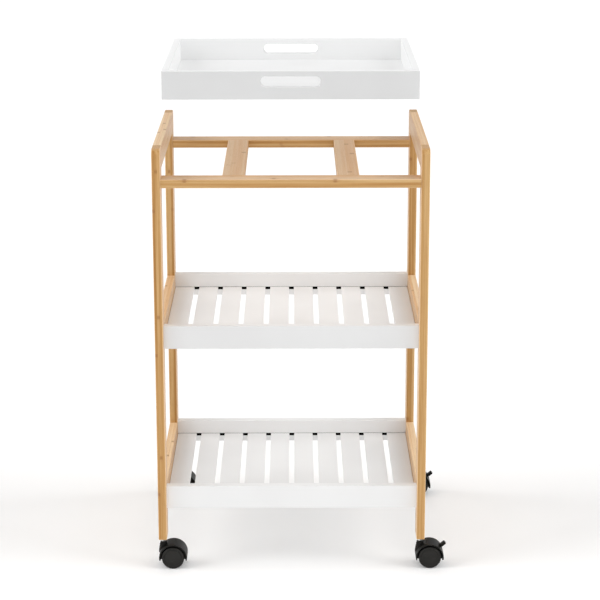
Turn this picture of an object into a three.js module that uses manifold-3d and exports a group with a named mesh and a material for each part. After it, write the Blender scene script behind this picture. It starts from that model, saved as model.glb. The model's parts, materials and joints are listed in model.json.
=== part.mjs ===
// Rolling utility cart: two bamboo side frames, two white slatted shelves, a removable white tray
// and four black twin-wheel casters. Millimetres, +Z up, front of the cart towards -Y.
// The origin is on the floor, under the middle of the frame.
import * as THREE from 'three';
import { mergeVertices } from 'three/addons/utils/BufferGeometryUtils.js';
import Module from 'manifold-3d';

const wasm = await Module();
wasm.setup();

// ---------------------------------------------------------------- driving dimensions
const WIDTH = 480; // over the side frames
const DEPTH = 410; // over the posts
const FRAME_TOP = 772; // top of the side frames
const FRAME_BOTTOM = 56; // bottom of the posts, on the casters
const STOCK = 15; // bamboo stock thickness
const STOCK_WIDTH = 40; // bamboo stock width
const GAP = 0.3; // clearance between neighbouring pieces
const CORNER_RADIUS = 11; // outer top corners of the side frames

const RAIL_TOP = 719; // top of the two rails that carry the tray
const SLAT_X = 100; // centre of each tray slat
const SLAT_WIDTH = 39;

const SHELF_TOPS = { mid: 454, low: 155 }; // top of the shelf boards
const BOARD_HEIGHT = 42;
const BOARD_THICKNESS = 16;
const FLOOR_DROP = 26; // floor surface below the top of the boards
const FLOOR_THICKNESS = 6;
const SLOT_COUNT = 9;
const SLOT_PITCH = 45.8;
const SLOT_WIDTH = 9.4;

const TRAY_WIDTH = 440;
const TRAY_HEIGHT = 49;
const TRAY_BOARD = 12; // thickness of the tray's boards
const TRAY_LIFT = 139; // the tray is drawn lifted this far off its rails
const TRAY_FLOOR_TOP = 10; // tray floor surface above the tray's lower edge
const TRAY_FLOOR_THICKNESS = 5.5;
const HANDLE_LENGTH = 103;
const HANDLE_HEIGHT = 18;
const HANDLE_DROP = 18.2; // centre of the handle slot below the board's top

const TONGUE_LENGTH = 5; // floor tongues in the grooves of the boards
const TONGUE_STEP = 1; // tongue surface below the floor surface
const TENON = { length: 10, height: 28, thickness: 7 };

const WHEEL_RADIUS = 20.3;
const WHEEL_INNER_FACE = 7.5; // from the middle plane of the caster
const WHEEL_OUTER_FACE = 19.8;
const CAP_THICKNESS = 3.4; // outer wall of the wheel, over the axle's end
const RIM_WIDTH = 3.4; // raised rim round the wheel's outer face
const CASTER_TRAIL = 17.5; // wheel axle behind the stem
const HOOD_INNER_RADIUS = 22.8;
const HOOD_OUTER_RADIUS = 25.3;
const HOOD_HALF_WIDTH = 18.5;
const HOOD_SKIRT = 5; // hood reaches this far below the axle
const BOSS_TOP_RADIUS = 5.6; // the swivel boss flares from here down to the hood's shell
const BOSS_FOOT_RADIUS = 9;
const BOSS_CORE_RADIUS = 7; // its lower part, between the wheels
const COLLAR_HEIGHT = 7.4; // hexagonal collar of the stem, between the boss and the post
const COLLAR_RADIUS = 5.8; // over its corners
const STEM_RADIUS = 4;
const STEM_REACH = 30; // stem inside the post
const PIN_RADIUS = 3.5;
const AXLE_RADIUS = 3;
const WEB_HALF_WIDTH = 5; // middle plate of the hood, between the wheels
const LEVER_ANGLE = THREE.MathUtils.degToRad(40); // raised brake lever, above the horizontal
const LEVER_PIVOT = 17.5; // lever pivot from the axle
const LEVER_END = 36.8; // lever tip from the axle
const LEVER_THICKNESS = 6;
const LEVER_HALF_WIDTH = 2.9; // its tail, in the slot of the hood
const LEVER_TAIL = 4.5; // tail behind the pivot
const LEVER_PRESSED = THREE.MathUtils.degToRad(22); // travel of the lever
const LEVER_PIN_RADIUS = 1.5;
const PEDAL_START = 26.8; // from the axle
const PEDAL_HALF_WIDTH = 4.6;

const BOLT_RADIUS = 3;
const BOLT_HEAD_RADIUS = 6;
const BOLT_HEAD_HEIGHT = 4;
const BOLT_REACH = 35; // into the rail or board
const BOLT_SOCKET_RADIUS = 2.6; // hexagon socket, over its corners
const BOLT_SOCKET_DEPTH = 2.5;
const BOLT_DROP = 18; // bolts of a shelf below the top of its boards

const HALF_WIDTH = WIDTH / 2;
const HALF_DEPTH = DEPTH / 2;
const INNER_X = HALF_WIDTH - STOCK; // inner faces of the side frames
const POST_Y = HALF_DEPTH - STOCK_WIDTH / 2; // centre of the posts
const INNER_Y = HALF_DEPTH - STOCK_WIDTH; // inner edges of the posts
const BOARD_INNER_Y = POST_Y - BOARD_THICKNESS / 2;

// ---------------------------------------------------------------- materials
const bamboo = { color: 0xcb9f6c, roughness: 0.55, metalness: 0 };
const white = { color: 0xecebe7, roughness: 0.4, metalness: 0 };
const plastic = { color: 0x23211f, roughness: 0.45, metalness: 0 };
const steel = { color: 0xb9bcc0, roughness: 0.3, metalness: 1 };

const cart = new THREE.Group();

function add(name, look, geometry, parent = cart) {
  const mesh = new THREE.Mesh(geometry, new THREE.MeshStandardMaterial(look));
  mesh.name = name;
  parent.add(mesh);
  return mesh;
}

// ---------------------------------------------------------------- solids
function toManifold(geometry) {
  const plain = geometry.clone();
  plain.deleteAttribute('uv');
  plain.deleteAttribute('normal');
  const merged = mergeVertices(plain, 1e-4);
  return new wasm.Manifold(new wasm.Mesh({
    numProp: 3,
    vertProperties: new Float32Array(merged.attributes.position.array),
    triVerts: new Uint32Array(merged.index.array),
  }));
}

function toGeometry(manifold) {
  const mesh = manifold.getMesh();
  const geometry = new THREE.BufferGeometry();
  geometry.setAttribute('position', new THREE.BufferAttribute(mesh.vertProperties, 3));
  geometry.setIndex(new THREE.BufferAttribute(mesh.triVerts, 1));
  geometry.computeVertexNormals();
  return geometry;
}

function join(first, ...others) {
  let solid = toManifold(first);
  for (const other of others) solid = solid.add(toManifold(other));
  return toGeometry(solid);
}

function cut(base, ...tools) {
  let solid = toManifold(base);
  for (const tool of tools) solid = solid.subtract(toManifold(tool));
  return toGeometry(solid);
}

function meet(first, second) {
  return toGeometry(toManifold(first).intersect(toManifold(second)));
}

function block([x0, x1], [y0, y1], [z0, z1]) {
  const box = new THREE.BoxGeometry(x1 - x0, y1 - y0, z1 - z0);
  return box.translate((x0 + x1) / 2, (y0 + y1) / 2, (z0 + z1) / 2);
}

// A cylinder of the given radius from low to high along an axis, centred on the other two values.
function rod(axis, radius, low, high, [a, b], segments = 12) {
  const cylinder = new THREE.CylinderGeometry(radius, radius, high - low, segments);
  const middle = (low + high) / 2;
  if (axis === 'x') return cylinder.rotateZ(Math.PI / 2).translate(middle, a, b);
  if (axis === 'y') return cylinder.translate(a, middle, b);
  return cylinder.rotateX(Math.PI / 2).translate(a, b, middle);
}

// A shape drawn in X and Z, pulled out along Y by half its width each way.
function pullAlongY(shape, halfWidth, curveSegments = 12) {
  const options = { depth: 2 * halfWidth, bevelEnabled: false, curveSegments };
  const solid = new THREE.ExtrudeGeometry(shape, options);
  return solid.translate(0, 0, -halfWidth).rotateX(Math.PI / 2);
}

// A shape drawn in Y and Z, pulled out along X by half its width each way.
function pullAlongX(shape, halfWidth, curveSegments = 8) {
  const options = { depth: 2 * halfWidth, bevelEnabled: false, curveSegments };
  const solid = new THREE.ExtrudeGeometry(shape, options).translate(0, 0, -halfWidth);
  return solid.rotateX(Math.PI / 2).rotateZ(Math.PI / 2);
}

const sides = { left: -1, right: 1 };
const ends = { front: -1, rear: 1 };

// ---------------------------------------------------------------- side frames
const SIDE_RAILS = {
  top: FRAME_TOP - STOCK_WIDTH / 2,
  mid: SHELF_TOPS.mid - STOCK_WIDTH / 2,
  low: SHELF_TOPS.low - STOCK_WIDTH / 2,
};

// What is bolted between the side frames at each end of the cart: height of its bolt.
const BOLT_HEIGHTS = {
  tray: RAIL_TOP - STOCK / 2,
  mid: SHELF_TOPS.mid - BOLT_DROP,
  low: SHELF_TOPS.low - BOLT_DROP,
};

// A front post in place at Y; its outer top corner is round.
function postBlank() {
  const outer = -HALF_DEPTH;
  const profile = new THREE.Shape();
  profile.moveTo(outer, FRAME_BOTTOM);
  profile.lineTo(-INNER_Y, FRAME_BOTTOM);
  profile.lineTo(-INNER_Y, FRAME_TOP);
  profile.lineTo(outer + CORNER_RADIUS, FRAME_TOP);
  profile.absarc(outer + CORNER_RADIUS, FRAME_TOP - CORNER_RADIUS, CORNER_RADIUS,
    Math.PI / 2, Math.PI, false);
  profile.closePath();
  return pullAlongX(profile, STOCK / 2);
}

function mortise(centreZ) {
  const halfThickness = TENON.thickness / 2 + GAP;
  const halfHeight = TENON.height / 2 + GAP;
  const depth = TENON.length + GAP;
  return block([-halfThickness, halfThickness], [-INNER_Y - depth, -INNER_Y + 1],
    [centreZ - halfHeight, centreZ + halfHeight]);
}

// The post of the front right corner, centred on X: the bolt heads face +X.
function postGeometry() {
  const face = STOCK / 2;
  const tools = Object.values(SIDE_RAILS).map(mortise);
  for (const z of Object.values(BOLT_HEIGHTS)) {
    tools.push(rod('x', BOLT_RADIUS + GAP, -face - 1, face + 1, [-POST_Y, z]));
    const seat = face - BOLT_HEAD_HEIGHT - GAP;
    tools.push(rod('x', BOLT_HEAD_RADIUS + GAP, seat, face + 1, [-POST_Y, z], 20));
  }
  const stemHole = rod('z', STEM_RADIUS + GAP, FRAME_BOTTOM - 1, FRAME_BOTTOM + 31, [0, -POST_Y]);
  return cut(postBlank(), ...tools, stemHole);
}

function sideRailGeometry() {
  const half = INNER_Y - GAP;
  const body = block([-STOCK / 2, STOCK / 2], [-half, half], [-STOCK_WIDTH / 2, STOCK_WIDTH / 2]);
  const tenonEnd = INNER_Y + TENON.length;
  const tenons = block([-TENON.thickness / 2, TENON.thickness / 2], [-tenonEnd, tenonEnd],
    [-TENON.height / 2, TENON.height / 2]);
  return join(body, tenons);
}

const post = postGeometry();
const sideRail = sideRailGeometry();
for (const [side, s] of Object.entries(sides)) {
  const x = s * (HALF_WIDTH - STOCK / 2);
  for (const [end, e] of Object.entries(ends)) {
    const geometry = post.clone();
    if (s * e > 0) geometry.scale(-1, 1, 1);
    if (s * e > 0) geometry.setIndex(Array.from(geometry.index.array).reverse());
    if (e > 0) geometry.rotateZ(Math.PI);
    const mesh = add(`post_${end}_${side}`, bamboo, geometry);
    mesh.position.x = x;
  }
  for (const [level, z] of Object.entries(SIDE_RAILS)) {
    const mesh = add(`${level}_rail_${side}`, bamboo, sideRail);
    mesh.position.set(x, 0, z);
  }
}

// ---------------------------------------------------------------- tray rails and slats
const SPAN = INNER_X - GAP; // half length of what spans the side frames

function boltHoles(y, z) {
  const deep = INNER_X - BOLT_REACH - 1;
  return [
    rod('x', BOLT_RADIUS + GAP, deep, INNER_X + 1, [y, z]),
    rod('x', BOLT_RADIUS + GAP, -INNER_X - 1, -deep, [y, z]),
  ];
}

function slatTenon(x, grow) {
  const half = TENON.height / 2 + grow;
  const end = INNER_Y + TENON.length + grow;
  const halfThickness = TENON.thickness / 2 + grow;
  const z = RAIL_TOP - STOCK / 2;
  return block([x - half, x + half], [-end, end], [z - halfThickness, z + halfThickness]);
}

for (const [end, e] of Object.entries(ends)) {
  const reach = [INNER_Y, HALF_DEPTH].map((y) => e * y).sort((a, b) => a - b);
  const rail = block([-SPAN, SPAN], reach, [RAIL_TOP - STOCK, RAIL_TOP]);
  const mortises = [-SLAT_X, SLAT_X].map((x) => slatTenon(x, GAP));
  const holes = boltHoles(e * POST_Y, BOLT_HEIGHTS.tray);
  add(`tray_rail_${end}`, bamboo, cut(rail, ...mortises, ...holes));
}

for (const [side, s] of Object.entries(sides)) {
  const x = s * SLAT_X;
  const half = INNER_Y - GAP;
  const body = block([x - SLAT_WIDTH / 2, x + SLAT_WIDTH / 2], [-half, half], [RAIL_TOP - STOCK, RAIL_TOP]);
  add(`tray_slat_${side}`, bamboo, join(body, slatTenon(x, 0)));
}

// ---------------------------------------------------------------- shelves
function shelfFloor(top) {
  const edge = BOARD_INNER_Y - GAP;
  const bottom = top - FLOOR_THICKNESS;
  const tongueEnd = BOARD_INNER_Y + TONGUE_LENGTH;
  const panel = block([-SPAN, SPAN], [-edge, edge], [bottom, top]);
  const tongues = block([-SPAN, SPAN], [-tongueEnd, tongueEnd], [bottom, top - TONGUE_STEP]);
  const slotEnd = BOARD_INNER_Y + TONGUE_LENGTH / 2;
  const slots = [];
  for (let i = 0; i < SLOT_COUNT; i += 1) {
    const x = (i - (SLOT_COUNT - 1) / 2) * SLOT_PITCH;
    slots.push(block([x - SLOT_WIDTH / 2, x + SLOT_WIDTH / 2], [-slotEnd, slotEnd], [bottom - 1, top + 1]));
  }
  return cut(join(panel, tongues), ...slots);
}

function shelfBoard(e, top, boltZ) {
  const reach = [BOARD_INNER_Y, BOARD_INNER_Y + BOARD_THICKNESS].map((y) => e * y).sort((a, b) => a - b);
  const board = block([-SPAN, SPAN], reach, [top - BOARD_HEIGHT, top]);
  const floorTop = top - FLOOR_DROP;
  const grooveDepth = BOARD_INNER_Y + TONGUE_LENGTH + GAP;
  const groove = block([-SPAN - 1, SPAN + 1], [-grooveDepth, grooveDepth],
    [floorTop - FLOOR_THICKNESS - GAP, floorTop - TONGUE_STEP + GAP]);
  return cut(board, groove, ...boltHoles(e * POST_Y, boltZ));
}

for (const [level, top] of Object.entries(SHELF_TOPS)) {
  add(`${level}_shelf_front_board`, white, shelfBoard(-1, top, BOLT_HEIGHTS[level]));
  add(`${level}_shelf_back_board`, white, shelfBoard(1, top, BOLT_HEIGHTS[level]));
  add(`${level}_shelf_floor`, white, shelfFloor(top - FLOOR_DROP));
}

// ---------------------------------------------------------------- tray, lifted off its rails
const tray = new THREE.Group();
tray.position.z = RAIL_TOP + GAP + TRAY_LIFT;
cart.add(tray);

const TRAY_HALF_X = TRAY_WIDTH / 2;
const TRAY_INNER_X = TRAY_HALF_X - TRAY_BOARD;
const TRAY_INNER_Y = HALF_DEPTH - TRAY_BOARD;

// The tray's floor tongue all round, or with grow the groove that takes it.
function trayTongue(grow) {
  const x = TRAY_INNER_X + TONGUE_LENGTH + grow;
  const y = TRAY_INNER_Y + TONGUE_LENGTH + grow;
  const low = TRAY_FLOOR_TOP - TRAY_FLOOR_THICKNESS - grow;
  return block([-x, x], [-y, y], [low, TRAY_FLOOR_TOP - TONGUE_STEP + grow]);
}

function handleSlot() {
  const radius = HANDLE_HEIGHT / 2;
  const straight = HANDLE_LENGTH / 2 - radius;
  const z = TRAY_HEIGHT - HANDLE_DROP;
  const slot = new THREE.Shape();
  slot.moveTo(-straight, z - radius);
  slot.lineTo(straight, z - radius);
  slot.absarc(straight, z, radius, -Math.PI / 2, Math.PI / 2, false);
  slot.lineTo(-straight, z + radius);
  slot.absarc(-straight, z, radius, Math.PI / 2, (3 * Math.PI) / 2, false);
  return pullAlongY(slot, HALF_DEPTH + 1, 10);
}

function trayEndBoard(e) {
  const reach = [TRAY_INNER_Y, HALF_DEPTH].map((y) => e * y).sort((a, b) => a - b);
  const board = block([-TRAY_HALF_X, TRAY_HALF_X], reach, [0, TRAY_HEIGHT]);
  return cut(board, trayTongue(GAP), handleSlot());
}

function traySideBoard(s) {
  const reach = [TRAY_INNER_X, TRAY_HALF_X].map((x) => s * x).sort((a, b) => a - b);
  const half = TRAY_INNER_Y - GAP;
  return cut(block(reach, [-half, half], [0, TRAY_HEIGHT]), trayTongue(GAP));
}

function trayFloor() {
  const x = TRAY_INNER_X - GAP;
  const y = TRAY_INNER_Y - GAP;
  const panel = block([-x, x], [-y, y], [TRAY_FLOOR_TOP - TRAY_FLOOR_THICKNESS, TRAY_FLOOR_TOP]);
  return join(panel, trayTongue(0));
}

add('tray_front_board', white, trayEndBoard(-1), tray);
add('tray_back_board', white, trayEndBoard(1), tray);
add('tray_left_board', white, traySideBoard(-1), tray);
add('tray_right_board', white, traySideBoard(1), tray);
add('tray_floor', white, trayFloor(), tray);

// ---------------------------------------------------------------- casters
// Each caster is drawn around its axle: the stem stands at X = -trail and the wheels turn about Y.
const POST_END = FRAME_BOTTOM - WHEEL_RADIUS; // bottom of the post above the axle
const COLLAR_TOP = POST_END - GAP;
const COLLAR_BOTTOM = COLLAR_TOP - COLLAR_HEIGHT;
const BOSS_TOP = COLLAR_BOTTOM - GAP;
const BOSS_BOTTOM = 4; // above the axle
const PIN_END = BOSS_BOTTOM + 3; // lower end of the swivel pin
const STEM_XY = [-CASTER_TRAIL, 0];
const PIVOT = [LEVER_PIVOT * Math.cos(LEVER_ANGLE), LEVER_PIVOT * Math.sin(LEVER_ANGLE)];

function stemGeometry() {
  const thread = rod('z', STEM_RADIUS, COLLAR_TOP - 1, POST_END + STEM_REACH, STEM_XY);
  const collar = rod('z', COLLAR_RADIUS, COLLAR_BOTTOM, COLLAR_TOP, STEM_XY, 6);
  const pin = rod('z', PIN_RADIUS, PIN_END, COLLAR_BOTTOM + 1, STEM_XY);
  return join(collar, thread, pin);
}

// The swivel boss: a plain core between the wheels and a flared neck outside the hood's shell.
function bossGeometry() {
  const core = rod('z', BOSS_CORE_RADIUS, BOSS_BOTTOM, HOOD_INNER_RADIUS - 1, STEM_XY, 20);
  const shoulder = (BOSS_TOP_RADIUS + BOSS_CORE_RADIUS) / 2;
  const points = [
    [0, BOSS_BOTTOM],
    [BOSS_FOOT_RADIUS, BOSS_BOTTOM],
    [BOSS_CORE_RADIUS + 1, HOOD_INNER_RADIUS - 6],
    [shoulder, HOOD_INNER_RADIUS],
    [BOSS_TOP_RADIUS, BOSS_TOP],
    [0, BOSS_TOP],
  ];
  const neck = new THREE.LatheGeometry(points.map(([r, z]) => new THREE.Vector2(r, z)), 20);
  neck.rotateX(Math.PI / 2).translate(STEM_XY[0], STEM_XY[1], 0);
  const inside = rod('y', HOOD_INNER_RADIUS + 1, -HOOD_HALF_WIDTH, HOOD_HALF_WIDTH, [0, 0], 24);
  return join(core, cut(neck, inside));
}

// A slice of a disc in X and Z between two radii and two angles from +X.
function ring(inner, outer, from, to) {
  const shape = new THREE.Shape();
  shape.absarc(0, 0, outer, from, to, false);
  shape.absarc(0, 0, inner, to, from, true);
  shape.closePath();
  return shape;
}

// A straight bar in X and Z that starts on the lever's pivot and points away at an angle.
function bar(angle, start, end, thickness, halfWidth) {
  const solid = block([start, end], [-halfWidth, halfWidth], [-thickness / 2, thickness / 2]);
  solid.rotateY(-angle);
  return solid.translate(PIVOT[0], 0, PIVOT[1]);
}

function hoodGeometry(hasBrake) {
  const skirt = Math.asin(HOOD_SKIRT / HOOD_OUTER_RADIUS);
  const shell = pullAlongY(
    ring(HOOD_INNER_RADIUS, HOOD_OUTER_RADIUS, -skirt, Math.PI + skirt), HOOD_HALF_WIDTH, 24);
  const disc = rod('y', HOOD_INNER_RADIUS + 1, -WEB_HALF_WIDTH, WEB_HALF_WIDTH, [0, 0], 24);
  const above = block([-30, 30], [-10, 10], [-HOOD_SKIRT - 2, 30]);
  const boss = bossGeometry();
  const body = join(shell, meet(disc, above), boss);
  const axleHole = rod('y', AXLE_RADIUS + GAP, -WEB_HALF_WIDTH - 1, WEB_HALF_WIDTH + 1, [0, 0]);
  const pinHole = rod('z', PIN_RADIUS + GAP, PIN_END - GAP, BOSS_TOP + 1, STEM_XY);
  if (!hasBrake) return cut(body, axleHole, pinHole);
  const slots = [0, LEVER_PRESSED / 2, LEVER_PRESSED].map((pressed) => bar(
    LEVER_ANGLE - pressed, -LEVER_TAIL - 2, HOOD_OUTER_RADIUS - LEVER_PIVOT + 4,
    LEVER_THICKNESS + 2, LEVER_HALF_WIDTH + GAP));
  const pivotHole = rod('y', LEVER_PIN_RADIUS + GAP, -WEB_HALF_WIDTH - 1, WEB_HALF_WIDTH + 1, PIVOT);
  return cut(body, axleHole, pinHole, ...slots, pivotHole);
}

function leverGeometry() {
  const tail = bar(LEVER_ANGLE, -LEVER_TAIL, PEDAL_START - LEVER_PIVOT + 1,
    LEVER_THICKNESS, LEVER_HALF_WIDTH);
  const pedal = bar(LEVER_ANGLE, PEDAL_START - LEVER_PIVOT, LEVER_END - LEVER_PIVOT,
    LEVER_THICKNESS, PEDAL_HALF_WIDTH);
  const pin = rod('y', LEVER_PIN_RADIUS, -WEB_HALF_WIDTH, WEB_HALF_WIDTH, PIVOT);
  return join(tail, pedal, pin);
}

// One wheel, turned about Y, with its hub bored from the inner face and its outer face dished.
function wheelGeometry() {
  const bore = AXLE_RADIUS + GAP;
  const capInside = WHEEL_OUTER_FACE - CAP_THICKNESS;
  const points = [
    [0, capInside],
    [bore, capInside],
    [bore, WHEEL_INNER_FACE],
    [WHEEL_RADIUS - 1.5, WHEEL_INNER_FACE],
    [WHEEL_RADIUS, WHEEL_INNER_FACE + 1.5],
    [WHEEL_RADIUS, WHEEL_OUTER_FACE - 1.8],
    [WHEEL_RADIUS - 1.8, WHEEL_OUTER_FACE],
    [WHEEL_RADIUS - RIM_WIDTH, WHEEL_OUTER_FACE],
    [WHEEL_RADIUS - RIM_WIDTH - 0.8, WHEEL_OUTER_FACE - 0.8],
    [0, WHEEL_OUTER_FACE - 0.3],
  ];
  return new THREE.LatheGeometry(points.map(([r, y]) => new THREE.Vector2(r, y)), 32);
}

const wheel = wheelGeometry();
const stem = stemGeometry();
const axleEnd = WHEEL_OUTER_FACE - CAP_THICKNESS - GAP;
const axle = rod('y', AXLE_RADIUS, -axleEnd, axleEnd, [0, 0]);
for (const [side, s] of Object.entries(sides)) {
  const hasBrake = side === 'right';
  for (const [end, e] of Object.entries(ends)) {
    const corner = `${end}_${side}`;
    const caster = new THREE.Group();
    caster.position.set(s * (HALF_WIDTH - STOCK / 2) + CASTER_TRAIL, e * POST_Y, WHEEL_RADIUS);
    cart.add(caster);
    add(`caster_stem_${corner}`, steel, stem, caster);
    add(`caster_hood_${corner}`, plastic, hoodGeometry(hasBrake), caster);
    add(`caster_axle_${corner}`, steel, axle, caster);
    add(`wheel_${corner}_aft`, plastic, wheel, caster);
    add(`wheel_${corner}_fore`, plastic, wheel, caster).rotation.z = Math.PI;
    if (hasBrake) add(`brake_lever_${corner}`, plastic, leverGeometry(), caster);
  }
}

// ---------------------------------------------------------------- bolts through the posts
function boltGeometry() {
  const top = HALF_WIDTH - GAP;
  const head = rod('x', BOLT_HEAD_RADIUS, top - BOLT_HEAD_HEIGHT + GAP, top, [0, 0], 20);
  const shank = rod('x', BOLT_RADIUS, INNER_X - BOLT_REACH, top - 1, [0, 0]);
  const socket = rod('x', BOLT_SOCKET_RADIUS, top - BOLT_SOCKET_DEPTH, top + 1, [0, 0], 6);
  return cut(join(head, shank), socket);
}

const bolt = boltGeometry();
for (const [side, s] of Object.entries(sides)) {
  for (const [end, e] of Object.entries(ends)) {
    for (const [level, z] of Object.entries(BOLT_HEIGHTS)) {
      const mesh = add(`bolt_${level}_${end}_${side}`, steel, bolt);
      mesh.position.set(0, e * POST_Y, z);
      if (s < 0) mesh.rotation.z = Math.PI;
    }
  }
}

export default cart;
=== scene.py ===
"""Looks of the rolling utility cart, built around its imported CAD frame.

Metres, +Z up, the front of the cart towards -Y. Places and outer sizes come from the frame; details
that the CAD leaves out have constants of their own.
"""
import itertools
import json
import math

import bmesh
import bpy
from mathutils import Matrix, Vector


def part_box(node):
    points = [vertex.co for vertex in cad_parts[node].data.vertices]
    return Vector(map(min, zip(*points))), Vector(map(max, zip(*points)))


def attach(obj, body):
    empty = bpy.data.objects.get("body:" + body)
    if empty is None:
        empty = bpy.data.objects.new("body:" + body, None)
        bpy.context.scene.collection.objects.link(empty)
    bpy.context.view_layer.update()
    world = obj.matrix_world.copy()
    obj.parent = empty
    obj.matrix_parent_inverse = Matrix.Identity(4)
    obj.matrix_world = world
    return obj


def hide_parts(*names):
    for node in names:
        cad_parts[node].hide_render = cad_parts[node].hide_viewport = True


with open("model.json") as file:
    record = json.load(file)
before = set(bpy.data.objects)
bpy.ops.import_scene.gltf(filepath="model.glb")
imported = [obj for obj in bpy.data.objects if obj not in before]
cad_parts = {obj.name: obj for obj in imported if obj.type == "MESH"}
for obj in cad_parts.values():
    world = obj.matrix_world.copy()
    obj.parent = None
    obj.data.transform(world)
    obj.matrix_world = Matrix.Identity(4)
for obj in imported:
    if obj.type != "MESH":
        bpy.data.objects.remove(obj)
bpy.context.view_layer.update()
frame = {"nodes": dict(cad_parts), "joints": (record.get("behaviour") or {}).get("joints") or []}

MM = 0.001
TOUCH = 1e-6
X, Y, Z = 0, 1, 2
UP = (0.0, 0.0, 1.0)
FORWARD, BACKWARD = (0.0, -1.0, 0.0), (0.0, 1.0, 0.0)
SIDES = {"left": -1, "right": 1}
ENDS = {"front": -1, "rear": 1}
JOINTS = {joint["name"]: joint for joint in frame["joints"]}


# ---------------------------------------------------------------- shader graphs
class Graph:
    """A node material with one Principled shader, and short calls to add nodes to it."""

    def __init__(self, name):
        self.material = bpy.data.materials.new(name)
        self.material.use_nodes = True
        self.tree = self.material.node_tree
        self.shader = self.tree.nodes["Principled BSDF"]

    def node(self, kind, sockets=None, **settings):
        node = self.tree.nodes.new(kind)
        for key, value in settings.items():
            setattr(node, key, value)
        for key, value in (sockets or {}).items():
            self.feed(node.inputs[key], value)
        return node

    def feed(self, socket, value):
        if isinstance(value, bpy.types.NodeSocket):
            self.tree.links.new(value, socket)
        else:
            socket.default_value = value

    def math(self, operation, first, second=0.0, clamp=False):
        node = self.node("ShaderNodeMath", operation=operation, use_clamp=clamp)
        self.feed(node.inputs[0], first)
        self.feed(node.inputs[1], second)
        return node.outputs[0]

    def ramp(self, value, low, high, to_low=0.0, to_high=1.0):
        """value from low..high mapped smoothly onto to_low..to_high."""
        node = self.node("ShaderNodeMapRange", interpolation_type="SMOOTHSTEP")
        for key, entry in zip(("Value", "From Min", "From Max", "To Min", "To Max"),
                              (value, low, high, to_low, to_high)):
            self.feed(node.inputs[key], entry)
        return node.outputs["Result"]

    def noise(self, vector, scale, detail=2.0, roughness=0.5):
        node = self.node("ShaderNodeTexNoise", {"Vector": vector, "Scale": scale, "Detail": detail,
                                                "Roughness": roughness})
        return node.outputs["Fac"]

    def stretched(self, vector, scales):
        node = self.node("ShaderNodeVectorMath", operation="MULTIPLY")
        self.feed(node.inputs[0], vector)
        node.inputs[1].default_value = scales
        return node.outputs["Vector"]

    def mix(self, factor, first, second, blend="MIX"):
        node = self.node("ShaderNodeMix", data_type="RGBA", blend_type=blend)
        self.feed(node.inputs["Factor"], factor)
        self.feed(node.inputs["A"], first)
        self.feed(node.inputs["B"], second)
        return node.outputs["Result"]

    def tint(self, base, amount, strength, shade):
        """base moved towards a shade, by an amount from 0 to 1 times a strength."""
        return self.mix(self.math("MULTIPLY", amount, strength), base, shade)

    def weigh(self, *terms, plus=0.0, clamp=False):
        """The sum of (value, weight) terms and a constant."""
        total = None
        for value, weight in terms:
            term = self.math("MULTIPLY", value, weight)
            total = term if total is None else self.math("ADD", total, term)
        return self.math("ADD", total, plus, clamp)

    def palette(self, value, low, high, middle=None):
        """A colour from low to high, through a middle one if it is given."""
        node = self.node("ShaderNodeValToRGB", {"Fac": value})
        stops = node.color_ramp.elements
        stops[0].position, stops[0].color = 0.05, low
        stops[1].position, stops[1].color = 0.95, high
        if middle:
            stops.new(0.5).color = middle
        return node.outputs["Color"]

    def attribute(self, name, output="Fac"):
        return self.node("ShaderNodeAttribute", attribute_name=name).outputs[output]

    def object_coordinates(self):
        return self.node("ShaderNodeTexCoord").outputs["Object"]

    def bump(self, height, strength, distance):
        node = self.node("ShaderNodeBump", {"Strength": strength, "Distance": distance, "Height": height})
        self.feed(self.shader.inputs["Normal"], node.outputs["Normal"])

    def set(self, **values):
        for key, value in values.items():
            self.feed(self.shader.inputs[key.replace("_", " ")], value)


def colour(red, green, blue):
    return (red, green, blue, 1.0)


# ---------------------------------------------------------------- materials
PLY = 5.0 * MM
STRIP = 8.0 * MM
KNUCKLE_SPACING = 0.26
FIBRE_WANDER = 1.2 * MM
DARK_STREAK = colour(0.330, 0.150, 0.050)
# Painted light: the near-white that faces turned up or inward are painted with.
PAINTED_LIGHT_LACQUER = colour(0.880, 0.883, 0.883)


def bamboo_strips(g, thick, wide):
    """Plies and strips counted across a board, and two chance values for each glued strip."""
    ply = g.math("DIVIDE", thick, PLY)
    strip = g.math("DIVIDE", wide, STRIP)
    cell = g.node("ShaderNodeCombineXYZ",
                  {"X": g.math("FLOOR", ply), "Y": g.math("FLOOR", strip)}).outputs["Vector"]
    chance = g.node("ShaderNodeTexWhiteNoise", {"Vector": cell}, noise_dimensions="3D")
    other = g.node("ShaderNodeSeparateXYZ", {"Vector": chance.outputs["Color"]}).outputs["Z"]
    return ply, strip, chance.outputs["Value"], other


def bamboo_fibres(g, grain, thick, wide, along):
    """Noises drawn out along a board: broad bands, fibres, dark streaks and pores.

    The fibres wander a little, so that no line runs dead straight."""
    slow = g.noise(g.stretched(grain, (30, 30, 9)), 1.0, 1.0)
    wander = g.math("MULTIPLY", g.math("SUBTRACT", slow, 0.5), FIBRE_WANDER)
    shifted = g.node("ShaderNodeCombineXYZ", {"X": g.math("ADD", thick, wander),
                                              "Y": g.math("ADD", wide, wander),
                                              "Z": along}).outputs["Vector"]
    broad = g.noise(g.stretched(shifted, (210, 210, 2.6)), 1.0, 2.0)
    fibre = g.noise(g.stretched(shifted, (950, 950, 7)), 1.0, 3.0, 0.6)
    streaks = g.ramp(g.noise(g.stretched(shifted, (2600, 2600, 11)), 1.0, 3.0, 0.7), 0.50, 0.68)
    pores = g.ramp(g.noise(g.stretched(shifted, (2300, 2300, 60)), 1.0, 1.0), 0.60, 0.72)
    return broad, fibre, streaks, pores


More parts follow.
